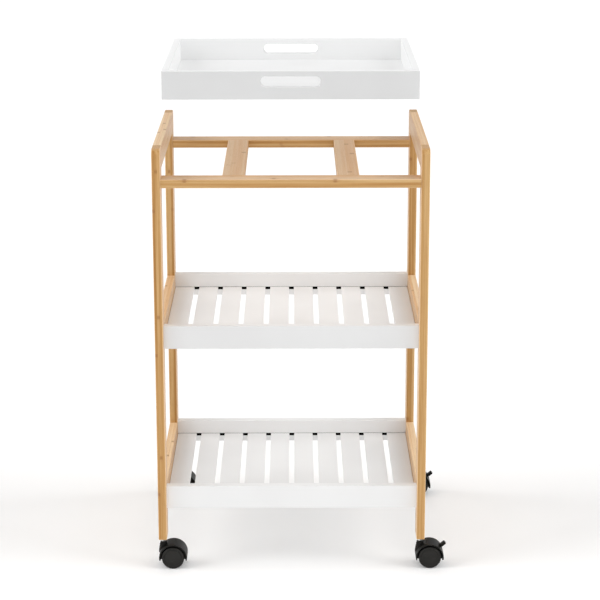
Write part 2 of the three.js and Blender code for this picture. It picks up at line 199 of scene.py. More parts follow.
def bamboo_knuckles(g, along, other, fibre):
    """A knuckle's line and halo, at its own place in each strip, and how strongly that strip shows them."""
    start = g.math("MULTIPLY", other, 7.3)
    place = g.math("FRACT", g.math("ADD", g.math("DIVIDE", along, KNUCKLE_SPACING), start))
    wobble = g.math("MULTIPLY", g.math("SUBTRACT", fibre, 0.5), 0.004)
    off = g.math("ADD", g.math("ABSOLUTE", g.math("SUBTRACT", place, 0.5)), wobble)
    line = g.ramp(off, 0.004, 0.018, 1.0, 0.0)
    halo = g.ramp(off, 0.004, 0.045, 1.0, 0.0)
    strong = g.ramp(other, 0.50, 0.80, 0.08, 1.0)
    return line, halo, strong


def bamboo_seams(g, ply, strip):
    """Thin glue lines between plies and between strips."""
    lines = []
    for count, start in ((ply, 0.465), (strip, 0.478)):
        off = g.math("ABSOLUTE", g.math("SUBTRACT", g.math("FRACT", count), 0.5))
        lines.append(g.ramp(off, start, 0.5))
    return g.math("MAXIMUM", *lines)


def end_grain_colour(g, grain):
    """Dark fibre bundles in a pale ground."""
    bundles = g.node("ShaderNodeTexVoronoi", {"Vector": grain, "Scale": 1300.0}).outputs["Distance"]
    dots = g.ramp(bundles, 0.18, 0.42, 1.0, 0.0)
    return g.mix(dots, colour(0.570, 0.340, 0.145), colour(0.360, 0.185, 0.075))


def bamboo_ground(g, tone, broad, fibre):
    """The wood before its marks: the boards' wide faces show paler, pinker wood than the narrow sides,
    painted paler still as painted light; the frames' top edges get that paler wood as painted top light."""
    value = g.weigh((tone, 0.62), (broad, 1.45), (fibre, 1.00), plus=-1.04, clamp=True)
    narrow = g.palette(value, colour(0.385, 0.182, 0.046), colour(0.630, 0.408, 0.182),
                       colour(0.512, 0.286, 0.101))
    pale = g.palette(value, colour(0.880, 0.555, 0.290), colour(0.985, 0.770, 0.515))
    return g.mix(g.attribute("wide_face_and_lit_top"), narrow, pale)


def bamboo_material():
    """Laminated bamboo under a satin lacquer: glued strips, fibres, pores and darker knuckles.

    The grain attribute gives each point's place in its board: thickness, width, length."""
    g = Graph("bamboo")
    grain = g.attribute("grain", "Vector")
    thick, wide, along = g.node("ShaderNodeSeparateXYZ", {"Vector": grain}).outputs
    ply, strip, tone, other = bamboo_strips(g, thick, wide)
    broad, fibre, streaks, pores = bamboo_fibres(g, grain, thick, wide, along)
    line, halo, strong = bamboo_knuckles(g, along, other, fibre)
    seam = bamboo_seams(g, ply, strip)

    base = bamboo_ground(g, tone, broad, fibre)
    base = g.tint(base, streaks, 0.22, DARK_STREAK)
    base = g.tint(base, pores, 0.16, colour(0.330, 0.150, 0.055))
    base = g.tint(base, g.math("MULTIPLY", halo, strong), 0.26, colour(0.400, 0.190, 0.070))
    base = g.tint(base, g.math("MULTIPLY", line, strong), 0.55, colour(0.290, 0.120, 0.040))
    base = g.tint(base, seam, 0.42, colour(0.330, 0.160, 0.060))
    base = g.mix(g.attribute("end_grain"), base, end_grain_colour(g, grain))

    # Rounded edges are painted a little paler, unevenly: partly sanding wear, partly painted edge
    # highlights.
    worn_and_highlit = g.math("MULTIPLY", g.attribute("rounded"), g.ramp(broad, 0.3, 0.7, 0.10, 0.34))
    base = g.mix(worn_and_highlit, base, colour(0.780, 0.545, 0.310))

    rough = g.weigh((fibre, 0.20), (pores, 0.12), plus=0.36)
    height = g.weigh((fibre, 0.55), (pores, -0.5), (line, -0.6), (streaks, -0.3), (seam, -0.5))
    g.bump(height, 0.35, 0.12 * MM)
    g.set(Base_Color=base, Roughness=rough, Specular_IOR_Level=0.22, Coat_Weight=0.06, Coat_Roughness=0.25)
    return g.material


def white_material(name, whiteness):
    """Satin white lacquer on fibre board: faint orange peel, slight clouding and rub marks on edges.

    Faces with the paler attribute are painted nearer to pure white, as painted light on the faces turned
    towards the light."""
    g = Graph(name)
    place = g.object_coordinates()
    peel = g.noise(place, 520.0, 2.0, 0.55)
    cloud = g.noise(place, 7.0, 2.0)
    fine = g.noise(place, 1900.0, 1.0)
    shade, tint = whiteness - 0.026, whiteness + 0.003
    base = g.mix(g.ramp(cloud, 0.3, 0.7), colour(shade, shade, shade), colour(whiteness, tint, tint))
    # Painted light: faces turned up or into the tray are painted nearer to pure white.
    base = g.mix(g.attribute("paler"), base, PAINTED_LIGHT_LACQUER)
    scuff = g.ramp(g.noise(place, 160.0, 3.0, 0.7), 0.56, 0.68)
    rubbed = g.math("MULTIPLY", g.attribute("rounded"), scuff)
    base = g.tint(base, rubbed, 0.30, colour(0.700, 0.680, 0.640))
    g.bump(g.weigh((peel, 0.8), (fine, 0.2)), 0.12, 0.10 * MM)
    g.set(Base_Color=base, Roughness=g.weigh((peel, 0.10), (cloud, 0.06), plus=0.30),
          Specular_IOR_Level=0.35, Coat_Weight=0.04, Coat_Roughness=0.25)
    return g.material


def groove_shade_material():
    """Near-black painted shade inside the grooves that the shelf floors sit in."""
    g = Graph("groove_painted_shade")
    place = g.object_coordinates()
    fuzz = g.noise(place, 900.0, 3.0, 0.7)
    base = g.mix(fuzz, colour(0.004, 0.0035, 0.003), colour(0.014, 0.012, 0.010))
    g.bump(fuzz, 0.5, 0.2 * MM)
    g.set(Base_Color=base, Roughness=0.95, Specular_IOR_Level=0.1)
    return g.material


def plastic_material(name, dark, light, rough_low, peel_scale, bump_strength, specular):
    """Black moulded plastic with a fine spark-eroded texture and dusty rub marks."""
    g = Graph(name)
    place = g.object_coordinates()
    texture = g.noise(place, peel_scale, 3.0, 0.65)
    cloud = g.noise(place, 60.0, 3.0, 0.6)
    scratches = g.ramp(g.noise(g.stretched(place, (180, 900, 240)), 1.0, 2.0, 0.6), 0.60, 0.74)
    base = g.mix(g.ramp(cloud, 0.3, 0.7), dark, light)
    base = g.tint(base, scratches, 0.22, colour(0.040, 0.038, 0.035))
    base = g.tint(base, g.attribute("rounded"), 0.30, colour(0.036, 0.034, 0.031))
    rough = g.weigh((texture, 0.16), (scratches, 0.10), plus=rough_low)
    g.bump(texture, bump_strength, 0.10 * MM)
    g.set(Base_Color=base, Roughness=rough, Specular_IOR_Level=specular)
    return g.material


def steel_material():
    """Bright zinc plating with fine drawn lines and a faint warm bloom."""
    g = Graph("zinc_steel")
    place = g.object_coordinates()
    bloom = g.noise(place, 240.0, 3.0, 0.6)
    lines = g.noise(g.stretched(place, (300, 2600, 2600)), 1.0, 2.0)
    base = g.mix(g.ramp(bloom, 0.3, 0.7), colour(0.60, 0.60, 0.60), colour(0.68, 0.67, 0.63))
    g.bump(lines, 0.15, 0.05 * MM)
    g.set(Base_Color=base, Roughness=g.weigh((lines, 0.14), (bloom, 0.08), plus=0.20), Metallic=1.0)
    return g.material


BAMBOO = bamboo_material()
# Painted light and shade: one white lacquer in lit and shaded copies. The front boards are painted darkest
# at the tray and paler towards the floor, as painted bounce light from the floor; the floors and the back
# boards are painted paler still.
FRONT_WHITE_PAINTED_SHADE = {level: white_material(f"white_lacquer_{level}_front", whiteness)
               for level, whiteness in (("tray", 0.660), ("mid", 0.735), ("low", 0.805))}
FLOOR_WHITE = white_material("white_lacquer_floor", 0.815)
PAINTED_LIGHT_WHITE = white_material("white_lacquer_painted_light", 0.865)
GROOVE_SHADE = groove_shade_material()
HOOD_BLACK = plastic_material("hood_black", colour(0.0050, 0.0047, 0.0041),
                              colour(0.0092, 0.0086, 0.0075), 0.34, 1500.0, 0.35, 0.12)
WHEEL_BLACK = plastic_material("wheel_black", colour(0.0100, 0.0095, 0.0080),
                               colour(0.0165, 0.0155, 0.0135), 0.32, 2200.0, 0.22, 0.22)
STEEL = steel_material()


# ---------------------------------------------------------------- mesh building
SLIVER = 0.002 * MM


def slab(lo, hi):
    """A closed box in a new bmesh."""
    bm = bmesh.new()
    size = Vector(hi) - Vector(lo)
    middle = (Vector(hi) + Vector(lo)) / 2
    bmesh.ops.create_cube(bm, size=1.0, matrix=Matrix.Translation(middle) @ Matrix.Diagonal((*size, 1.0)))
    return bm


def round_edges(bm, edges, radius, segments=3):
    """Rounds the given edges and marks the new faces in the rounded layer."""
    layer = bm.faces.layers.float.get("rounded") or bm.faces.layers.float.new("rounded")
    done = bmesh.ops.bevel(bm, geom=list(edges), offset=radius, segments=segments, profile=0.5,
                           affect="EDGES", clamp_overlap=True)
    for face in done["faces"]:
        face[layer] = 1.0


def runs_along(edge, axis):
    step = edge.verts[1].co - edge.verts[0].co
    return abs(step[axis]) > 0.999 * step.length


def rounded_board(lo, hi, radius, length_axis):
    """A board with its long edges rounded."""
    bm = slab(lo, hi)
    round_edges(bm, [e for e in bm.edges if runs_along(e, length_axis)], radius)
    return bm


def other_axes(axis):
    return [a for a in (X, Y, Z) if a != axis]


def close_rings(bm, rings):
    """Closes a stack of equally long rings of vertices with side faces and two caps."""
    bm.faces.new(rings[0])
    bm.faces.new(rings[-1])
    for low, high in zip(rings, rings[1:]):
        for i in range(len(low)):
            j = (i + 1) % len(low)
            bm.faces.new((low[i], low[j], high[j], high[i]))


def outline_prism(points, axis, low, high, cap_radius=0.0, segments=2):
    """A closed prism: a 2-D outline in the other two axes pulled out along an axis."""
    first, second = other_axes(axis)
    bm = bmesh.new()
    rings = []
    for level in (low, high):
        ring = []
        for a, b in points:
            place = [0.0, 0.0, 0.0]
            place[axis], place[first], place[second] = level, a, b
            ring.append(bm.verts.new(place))
        rings.append(ring)
    close_rings(bm, rings)
    bmesh.ops.recalc_face_normals(bm, faces=bm.faces)
    if cap_radius:
        rims = [e for e in bm.edges if not runs_along(e, axis)]
        round_edges(bm, rims, cap_radius, segments)
    return bm


def arc(centre, radius, start, stop, steps):
    """Points on an arc in degrees, both ends included."""
    angles = [math.radians(start + (stop - start) * i / steps) for i in range(steps + 1)]
    return [(centre[0] + radius * math.cos(a), centre[1] + radius * math.sin(a)) for a in angles]


def lathe(profile, axis, centre, segments=56):
    """Turns (radius, height) points about an axis through a centre; the profile starts and ends on it."""
    first, second = other_axes(axis)
    bm = bmesh.new()

    def point(radius, height, turn):
        angle = 2 * math.pi * turn / segments
        place = [0.0, 0.0, 0.0]
        place[axis] = centre[axis] + height
        place[first] = centre[first] + radius * math.cos(angle)
        place[second] = centre[second] + radius * math.sin(angle)
        return place

    rings = []
    for radius, height in profile:
        turns = segments if radius > 1e-9 else 1
        rings.append([bm.verts.new(point(radius, height, turn)) for turn in range(turns)])
    for low, high in zip(rings, rings[1:]):
        for i in range(segments):
            j = (i + 1) % segments
            corners = [low[i % len(low)], low[j % len(low)], high[j % len(high)], high[i % len(high)]]
            unique = list(dict.fromkeys(corners))
            if len(unique) > 2:
                bm.faces.new(unique)
    bmesh.ops.recalc_face_normals(bm, faces=bm.faces)
    return bm


def rounded_profile(points, radius, steps=3):
    """Rounds the inner corners of an open profile of (radius, height) points."""
    result = [points[0]]
    for before, here, after in zip(points, points[1:], points[2:]):
        here, before, after = Vector(here), Vector(before), Vector(after)
        reach = min(radius, (before - here).length * 0.45, (after - here).length * 0.45)
        start = here + (before - here).normalized() * reach
        stop = here + (after - here).normalized() * reach
        for k in range(steps + 1):
            t = k / steps
            result.append(tuple(start * (1 - t) ** 2 + here * 2 * t * (1 - t) + stop * t ** 2))
    result.append(points[-1])
    return result


def cell_side(cell, axis, side):
    """The four corner keys of one side, 0 or 1, of a grid cell."""
    first, second = other_axes(axis)
    ring = []
    for a, b in ((0, 0), (1, 0), (1, 1), (0, 1)):
        key = list(cell)
        key[axis] += side
        key[first] += a
        key[second] += b
        ring.append(tuple(key))
    return ring


def grid_solid(planes, filled):
    """One closed solid made of the filled cells between three sets of planes."""
    bm = bmesh.new()
    corners = {}
    cells = [cell for cell in itertools.product(*(range(len(places) - 1) for places in planes))
             if filled(*cell)]
    for cell, axis, side in itertools.product(cells, (X, Y, Z), (0, 1)):
        beyond = list(cell)
        beyond[axis] += 2 * side - 1
        if tuple(beyond) in cells:
            continue
        ring = cell_side(cell, axis, side)
        for key in ring:
            if key not in corners:
                corners[key] = bm.verts.new([places[n] for places, n in zip(planes, key)])
        bm.faces.new([corners[key] for key in ring])
    bmesh.ops.recalc_face_normals(bm, faces=bm.faces)
    return bm


def to_mesh(bm, name):
    mesh = bpy.data.meshes.new(name)
    bmesh.ops.recalc_face_normals(bm, faces=bm.faces)
    bm.to_mesh(mesh)
    bm.free()
    return mesh


def clean_mesh(mesh):
    """Removes the slivers that cutting and joining can leave."""
    bm = bmesh.new()
    bm.from_mesh(mesh)
    bmesh.ops.remove_doubles(bm, verts=bm.verts, dist=SLIVER)
    bmesh.ops.dissolve_degenerate(bm, edges=bm.edges, dist=SLIVER)
    bmesh.ops.triangulate(bm, faces=[f for f in bm.faces if len(f.verts) > 4])
    bmesh.ops.dissolve_degenerate(bm, edges=bm.edges, dist=SLIVER)
    bm.to_mesh(mesh)
    bm.free()


def combine(name, base, *changes):
    """A mesh from a base bmesh and ("UNION", "DIFFERENCE" or "INTERSECT", bmesh) steps."""
    body = bpy.data.objects.new(name, to_mesh(base, name))
    bpy.context.scene.collection.objects.link(body)
    for operation, bm in changes:
        tool = bpy.data.objects.new("tool", to_mesh(bm, "tool"))
        bpy.context.scene.collection.objects.link(tool)
        step = body.modifiers.new("step", "BOOLEAN")
        step.operation, step.solver, step.object = operation, "EXACT", tool
        bpy.context.view_layer.update()
        result = bpy.data.meshes.new_from_object(body.evaluated_get(bpy.context.evaluated_depsgraph_get()))
        body.modifiers.clear()
        body.data = result
        bpy.data.objects.remove(tool)
    mesh = body.data
    mesh.name = name
    bpy.data.objects.remove(body)
    clean_mesh(mesh)
    return mesh


def set_grain(mesh, thickness_axis, width_axis, length_axis, lo, seed):
    """Each point's place in its board for the bamboo material, moved on by a seed for each board."""
    grain = mesh.attributes.new("grain", "FLOAT_VECTOR", "POINT")
    offset = Vector((0.005 * (seed * 7 % 23), 0.008 * (seed * 5 % 31) + 0.0015 * seed, 0.37 * seed))
    for vertex, entry in zip(mesh.vertices, grain.data):
        local = vertex.co - lo
        entry.vector = Vector((local[thickness_axis], local[width_axis], local[length_axis])) + offset
    ends = mesh.attributes.new("end_grain", "FLOAT", "FACE")
    wide = mesh.attributes.new("wide_face_and_lit_top", "FLOAT", "FACE")
    painted_top_light = 0.8 if width_axis == Z else 0.0  # painted top light: a rail on edge gets the paler wood on its top
    for face, end_entry, wide_entry in zip(mesh.polygons, ends.data, wide.data):
        end_entry.value = 1.0 if abs(face.normal[length_axis]) > 0.8 else 0.0
        wide_entry.value = max(face.normal[thickness_axis] ** 2, painted_top_light * max(face.normal.z, 0.0))


def mark_painted_light(mesh, *directions):
    """How far each face points in one of the directions, where a board's lacquer is painted paler as
    painted light.
    """
    paler = mesh.attributes.new("paler", "FLOAT", "FACE")
    for face, entry in zip(mesh.polygons, paler.data):
        entry.value = max(max(face.normal.dot(Vector(direction)), 0.0) ** 2 for direction in directions)


def show(name, mesh, body, materials, node):
    """Puts a finished mesh in the scene, smooth-shaded, riding on its body in place of a CAD node."""
    piece = bpy.data.objects.new(name, mesh)
    bpy.context.scene.collection.objects.link(piece)
    mesh.materials.clear()
    for material in materials:
        mesh.materials.append(material)
    mesh.shade_smooth()
    mesh.set_sharp_from_angle(angle=math.radians(50))
    weighted = piece.modifiers.new("even_shading", "WEIGHTED_NORMAL")
    weighted.keep_sharp = True
    weighted.weight = 70
    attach(piece, body)
    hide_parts(node)


# ---------------------------------------------------------------- bamboo frame
WOOD_EDGE = 1.5 * MM
POST_CORNER = 11 * MM
SEAT_DEPTH = 4.3 * MM
SEAT_GAP = 0.3 * MM
seeds = iter(range(1, 100))


def bolt_seat(post_lo, post_hi, side, bolt):
    """The round recess in a post's outer face that takes a bolt's head."""
    lo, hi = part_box(bolt)
    radius = (hi.z - lo.z) / 2 + SEAT_GAP
    outer = post_hi.x if side > 0 else post_lo.x
    bottom, top = -side * SEAT_DEPTH, side * MM
    profile = [(0.0, bottom), (radius, bottom), (radius, top), (0.0, top)]
    return lathe(profile, X, (outer, (lo.y + hi.y) / 2, (lo.z + hi.z) / 2), 40)


def make_post(end, side):
    """A post with a large round outer corner at its top, small rounded edges and three bolt seats."""
    name = f"post_{end}_{side}"
    lo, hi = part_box(name)
    bm = slab(lo, hi)
    outer_y = hi.y if end == "rear" else lo.y
    corner = [e for e in bm.edges if runs_along(e, X)
              and all(abs(v.co.y - outer_y) < TOUCH and v.co.z > hi.z - TOUCH for v in e.verts)]
    bmesh.ops.bevel(bm, geom=corner, offset=POST_CORNER, segments=12, profile=0.5, affect="EDGES")
    sharp = [e for e in bm.edges if e.calc_face_angle(0.0) > math.radians(30)]
    round_edges(bm, sharp, WOOD_EDGE)
    seats = [("DIFFERENCE", bolt_seat(lo, hi, SIDES[side], f"bolt_{level}_{end}_{side}"))
             for level in ("tray", "mid", "low")]
    mesh = combine(name, bm, *seats)
    set_grain(mesh, X, Y, Z, lo, next(seeds))
    show(f"{name}_wood", mesh, "frame", [BAMBOO], name)


def make_bamboo_board(name, axes, touch_axis, touch_low, touch_high):
    """A bamboo board from its CAD box, without its tenons: its ends reach the pieces it is glued to."""
    lo, hi = (corner.copy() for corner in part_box(name))
    lo[touch_axis], hi[touch_axis] = touch_low, touch_high
    mesh = to_mesh(rounded_board(lo, hi, WOOD_EDGE, axes[2]), name)
    set_grain(mesh, *axes, lo, next(seeds))
    show(f"{name}_wood", mesh, "frame", [BAMBOO], name)


def make_side_frames():
    for side in SIDES:
        for end in ENDS:
            make_post(end, side)
        front_post, rear_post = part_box(f"post_front_{side}"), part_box(f"post_rear_{side}")
        for level in ("top", "mid", "low"):
            make_bamboo_board(f"{level}_rail_{side}", (X, Z, Y), Y, front_post[1].y, rear_post[0].y)


def between_posts():
    """Where the room between the side frames begins and ends."""
    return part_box("post_front_left")[1].x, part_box("post_front_right")[0].x


def make_tray_rails():
    inner = between_posts()
    for end in ENDS:
        make_bamboo_board(f"tray_rail_{end}", (Z, Y, X), X, *inner)
    front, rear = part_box("tray_rail_front")[1].y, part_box("tray_rail_rear")[0].y
    for side in SIDES:
        make_bamboo_board(f"tray_slat_{side}", (Z, X, Y), Y, front, rear)


# ---------------------------------------------------------------- white shelves
WHITE_EDGE = 1.2 * MM
STRIP_EDGE = 0.9 * MM
SLOTS = 9
SLOT_PITCH = 45.8 * MM
SLOT_WIDTH = 9.4 * MM
TONGUE_STEP = 1 * MM
BOARD_GAP = 0.3 * MM
SHADOW_GAP = 0.6 * MM
GROOVE_DEPTH = 5.3 * MM
END_BAR = 2.5 * MM


def paint_groove_shade(mesh, inner, outer, low, high):
    """Gives the faces inside a board's groove the second material, the near-black painted shade."""
    for face in mesh.polygons:
        y, z = face.center.y, face.center.z
        level = low - 0.01 * MM < z < high + 0.01 * MM
        inside = abs(y - inner) > 0.2 * MM and abs(y - outer) > 2 * MM
        face.material_index = 1 if level and inside else 0


def make_shelf_board(level, end):
    """A board with rounded edges and the floor's groove in its inner face, painted near-black inside as
    painted shade.
    """
    name = f"{level}_shelf_{end}_board"
    lo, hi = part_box(name)
    floor_lo, floor_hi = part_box(f"{level}_shelf_floor")
    inner, outer, inward = (hi.y, lo.y, 1) if end == "front" else (lo.y, hi.y, -1)
    # The groove reaches a little above the floor's top, so its painted shade shows as a fine dark line
    # along the floor.
    groove_low, groove_high = floor_lo.z + TONGUE_STEP, floor_hi.z + BOARD_GAP
    near, far = sorted((inner - inward * GROOVE_DEPTH, inner + inward * MM))
    left, right = between_posts()
    bm = slab((left, lo.y, lo.z), (right, hi.y, hi.z))
    round_edges(bm, [e for e in bm.edges if runs_along(e, X)], WHITE_EDGE)
    groove = slab((left - MM, near, groove_low), (right + MM, far, groove_high))
    mesh = combine(name, bm, ("DIFFERENCE", groove))
    # Painted light: the board's top face is painted paler.
    mark_painted_light(mesh, UP)
    # Painted shade and light: a front board takes its level's painted shade, a back board the white painted
    # lighter.
    white = FRONT_WHITE_PAINTED_SHADE[level] if end == "front" else PAINTED_LIGHT_WHITE
    show(f"{name}_lacquered", mesh, "frame", [white, GROOVE_SHADE], name)
    paint_groove_shade(mesh, inner, outer, groove_low, groove_high)


def slatted_plate(lo, hi, front, back):
    """Strips with slots between them; thinner tongues and end bars go into the boards' grooves."""
    cuts = [(i - (SLOTS - 1) / 2) * SLOT_PITCH for i in range(SLOTS)]
    slot_sides = [cut + side * SLOT_WIDTH / 2 for cut in cuts for side in (-1, 1)]
    across = [lo.x, *slot_sides, hi.x]
    deep = [lo.y, lo.y + END_BAR, front, front + SHADOW_GAP,
            back - SHADOW_GAP, back, hi.y - END_BAR, hi.y]
    upright = [lo.z, lo.z + TONGUE_STEP + BOARD_GAP, hi.z - TONGUE_STEP, hi.z]
    between_gaps, first_bar, last_bar, tongue = 3, 0, 6, 1

    def filled(i, j, k):
        in_strip, in_bar = i % 2 == 0, j in (first_bar, last_bar)
        return in_strip and (k == tongue or j == between_gaps) or in_bar and k == tongue

    return grid_solid((across, deep, upright), filled)


def make_shelf_floor(level):
    """Ten strips with rounded long edges, joined at their ends by bars hidden in the grooves.

    The strips stop just short of the boards, which with the grooves' painted shade leaves a fine dark line
    along each board."""
    name = f"{level}_shelf_floor"
    lo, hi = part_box(name)
    front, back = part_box(f"{level}_shelf_front_board")[1].y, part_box(f"{level}_shelf_back_board")[0].y
    bm = slatted_plate(lo, hi, front, back)
    long_edges = [e for e in bm.edges if runs_along(e, Y) and e.calc_length() > (back - front) / 2
                  and e.is_convex and e.calc_face_angle() > 1.0]
    round_edges(bm, long_edges, STRIP_EDGE)
    mesh = to_mesh(bm, name)
    # Painted light: the mid floor takes the white painted lighter than the low floor's.
    white = PAINTED_LIGHT_WHITE if level == "mid" else FLOOR_WHITE
    show(f"{name}_lacquered", mesh, "frame", [white, GROOVE_SHADE], name)
    # Painted shade: the tongues and end bars inside the grooves are painted near-black.
    for face in mesh.polygons:
        face.material_index = 0 if front <= face.center.y <= back else 1


def make_shelves():
    for level in ("mid", "low"):
        for end in ("front", "back"):
            make_shelf_board(level, end)
        make_shelf_floor(level)


# ---------------------------------------------------------------- tray
HANDLE_DROP = 18.2 * MM
HANDLE_LENGTH = 103 * MM
HANDLE_HEIGHT = 18 * MM
HANDLE_RIM = 1.3 * MM
RIM_STEPS = 4
FLOOR_EDGE = 0.6 * MM


def stadium(z, grow):
    """The handle slot's outline at a height, grown evenly."""
    radius = HANDLE_HEIGHT / 2
    straight = HANDLE_LENGTH / 2 - radius
    right = arc((straight, z), radius + grow, -90, 90, 20)
    left = arc((-straight, z), radius + grow, 90, 270, 20)
    return right + left


def handle_cutter(lo, hi):
    """The slot's cutter: it flares at both faces of the board, so that the cut leaves a rounded rim."""
    levels = [(lo.y - MM, HANDLE_RIM)]
    for k in range(RIM_STEPS + 1):
        angle = math.pi / 2 * k / RIM_STEPS
        levels.append((lo.y + HANDLE_RIM * (1 - math.cos(angle)), HANDLE_RIM * (1 - math.sin(angle))))
    levels += [(lo.y + hi.y - y, grow) for y, grow in reversed(levels)]
    tool = bmesh.new()
    middle = hi.z - HANDLE_DROP
    rings = [[tool.verts.new((a, y, b)) for a, b in stadium(middle, grow)] for y, grow in levels]
    close_rings(tool, rings)
    return tool


def make_tray_end_board(end):
    """A tray board with a round-ended handle slot, its rim rounded on both faces."""
    name = f"tray_{end}_board"
    lo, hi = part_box(name)
    bm = slab(lo, hi)
    round_edges(bm, list(bm.edges), WHITE_EDGE)
    mesh = combine(name, bm, ("DIFFERENCE", handle_cutter(lo, hi)))
    # Painted light: the top face, the face towards the tray's inside, and the back board's outer face are
    # painted paler.
    mark_painted_light(mesh, UP, BACKWARD, *([FORWARD] if end == "back" else []))
    # Painted shade: the tray's boards take the darkest painted-shade white.
    show(f"{name}_lacquered", mesh, "tray", [FRONT_WHITE_PAINTED_SHADE["tray"]], name)


def make_tray():
    for end in ("front", "back"):
        make_tray_end_board(end)
    front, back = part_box("tray_front_board")[1].y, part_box("tray_back_board")[0].y
    for side in SIDES:
        name = f"tray_{side}_board"
        lo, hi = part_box(name)
        bm = rounded_board((lo.x, front, lo.z), (hi.x, back, hi.z), WHITE_EDGE, Y)
        mesh = to_mesh(bm, name)
        # Painted light: the top face and the face towards the tray's inside are painted paler.
        mark_painted_light(mesh, UP, (-SIDES[side], 0.0, 0.0))
        # Painted shade: the tray's boards take the darkest painted-shade white.
        show(f"{name}_lacquered", mesh, "tray", [FRONT_WHITE_PAINTED_SHADE["tray"]], name)
    lo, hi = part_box("tray_floor")
    left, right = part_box("tray_left_board")[1].x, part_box("tray_right_board")[0].x
    bm = slab((left, front, lo.z), (right, back, hi.z))
    round_edges(bm, list(bm.edges), FLOOR_EDGE, 2)
    mesh = to_mesh(bm, "tray_floor")
    # Painted light: the tray floor takes the white painted lighter.
    show("tray_floor_lacquered", mesh, "tray", [PAINTED_LIGHT_WHITE], "tray_floor")


# ---------------------------------------------------------------- casters
HOOD_THICKNESS = 2.5 * MM
HOOD_SKIRT = 5 * MM  # how far the hood comes down below the axle
CHAMFER_RISE = 0.55 * MM
THREAD_ROOT, THREAD_CREST, THREAD_PITCH = 3.6 * MM, 4.0 * MM, 1.25 * MM
PIN_RADIUS = 3.5 * MM
LEVER_ANGLE = 40.0
LEVER_TRAVEL = 22
LEVER_HALF = 3 * MM
PIVOT_RADIUS = 17.5 * MM  # from the axle to the lever's pivot
PEDAL_START = 26.8 * MM - PIVOT_RADIUS
PEDAL_END = 36.8 * MM - PIVOT_RADIUS


def caster_places(corner):
    """The stem's axis at axle height and the axle's centre of one caster."""
    swivel = Vector(JOINTS[f"swivel_{corner}"]["pos_m"])
    axle = Vector(JOINTS[f"wheel_{corner}_fore"]["pos_m"])
    return swivel, axle


def lever_place(corner, angle):
    """From a lever's own frame, with the pivot at its origin and the tail along X, to its place."""
    pivot = Vector(JOINTS[f"brake_{corner}"]["pos_m"])
    return Matrix.Translation(pivot) @ Matrix.Rotation(math.radians(angle), 4, "Y")


def swivel_neck(stem, axle, top):
    """The boss's neck: narrow at the collar, flaring smoothly down to the hood's shell."""
    points = [(0, axle.z + 6 * MM), (8.9 * MM, axle.z + 6 * MM), (8.3 * MM, axle.z + 13 * MM),
              (7.4 * MM, axle.z + 18 * MM), (6.4 * MM, axle.z + 22.4 * MM), (5.6 * MM, top - 1.2 * MM),
              (5.1 * MM, top), (3.9 * MM, top), (3.9 * MM, top - 0.6 * MM), (0, top - 0.6 * MM)]
    return lathe(rounded_profile(points, 0.9 * MM), Z, (stem.x, stem.y, 0.0), 56)


def wheel_space(axle, radius):
    """The room for the wheels inside the shell."""
    half, grown = 25 * MM, radius + 1 * MM
    return lathe([(0, -half), (grown, -half), (grown, half), (0, half)], Y, axle, 96)


def hood_neck(stem, axle, top, inner):
    """The neck, cut away where the wheels turn."""
    mesh = combine("neck", swivel_neck(stem, axle, top), ("DIFFERENCE", wheel_space(axle, inner)))
    neck = bmesh.new()
    neck.from_mesh(mesh)
    return neck


def lever_slots(corner):
    """Cutters for the hood's slot: the lever's room when it is up, half pressed and pressed."""
    cutters = []
    for pressed in (0, LEVER_TRAVEL / 2, LEVER_TRAVEL):
        slot = slab((-6.5 * MM, -3.2 * MM, -4 * MM), (11.8 * MM, 3.2 * MM, 4 * MM))
        bmesh.ops.transform(slot, matrix=lever_place(corner, pressed - LEVER_ANGLE), verts=slot.verts)
        cutters.append(("DIFFERENCE", slot))
    return cutters


def make_hood(corner, brake):
    """The caster's hood: a thin arched shell over both wheels, a middle web and the swivel boss."""
    name = f"caster_hood_{corner}"
    lo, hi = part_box(name)
    stem, axle = caster_places(corner)
    outer = hi.x - axle.x
    inner = outer - HOOD_THICKNESS
    skirt = math.degrees(math.asin(HOOD_SKIRT / outer))
    centre = (axle.x, axle.z)
    outline = arc(centre, outer, -skirt, 180 + skirt, 72) + arc(centre, inner, 180 + skirt, -skirt, 72)
    shell = outline_prism(outline, Y, lo.y, hi.y, 0.9 * MM, 3)
    web_arc = arc(centre, inner + 1 * MM, -18, 198, 60)
    web = outline_prism(web_arc, Y, axle.y - 5 * MM, axle.y + 5 * MM, 0.6 * MM)
    core = lathe([(0, axle.z + 4 * MM), (7 * MM, axle.z + 4 * MM), (7 * MM, axle.z + 22 * MM),
                  (0, axle.z + 22 * MM)], Z, (stem.x, stem.y, 0.0), 48)
    steps = [("UNION", web), ("UNION", core), ("UNION", hood_neck(stem, axle, hi.z, inner))]
    if brake:
        steps += lever_slots(corner)
    mesh = combine(name, shell, *steps)
    show(f"{name}_moulded", mesh, f"swivel_{corner}", [HOOD_BLACK], name)


def wheel_mesh(axle, outward):
    """One moulded wheel: tread, rounded shoulder, a ring groove and a slightly domed cap.

    The profile is in millimetres: radius, distance from the caster's middle."""
    points = [(0, 16.4), (3.3, 16.4), (3.3, 7.5), (8.5, 7.5), (8.9, 8.6), (17.0, 8.6), (17.4, 7.5),
              (19.2, 7.5), (20.3, 8.7), (20.3, 17.6), (19.8, 18.9), (18.6, 19.6), (17.0, 19.7),
              (16.6, 18.9), (15.9, 18.9), (15.5, 19.5), (8.0, 19.75), (0, 19.8)]
    profile = rounded_profile([(r * MM, h * MM) for r, h in points], 0.45 * MM)
    return lathe([(r, outward * h) for r, h in profile], Y, axle, 72)


def rounded_block(lo, hi, radius, segments=3):
    bm = slab(lo, hi)
    round_edges(bm, list(bm.edges), radius, segments)
    return bm


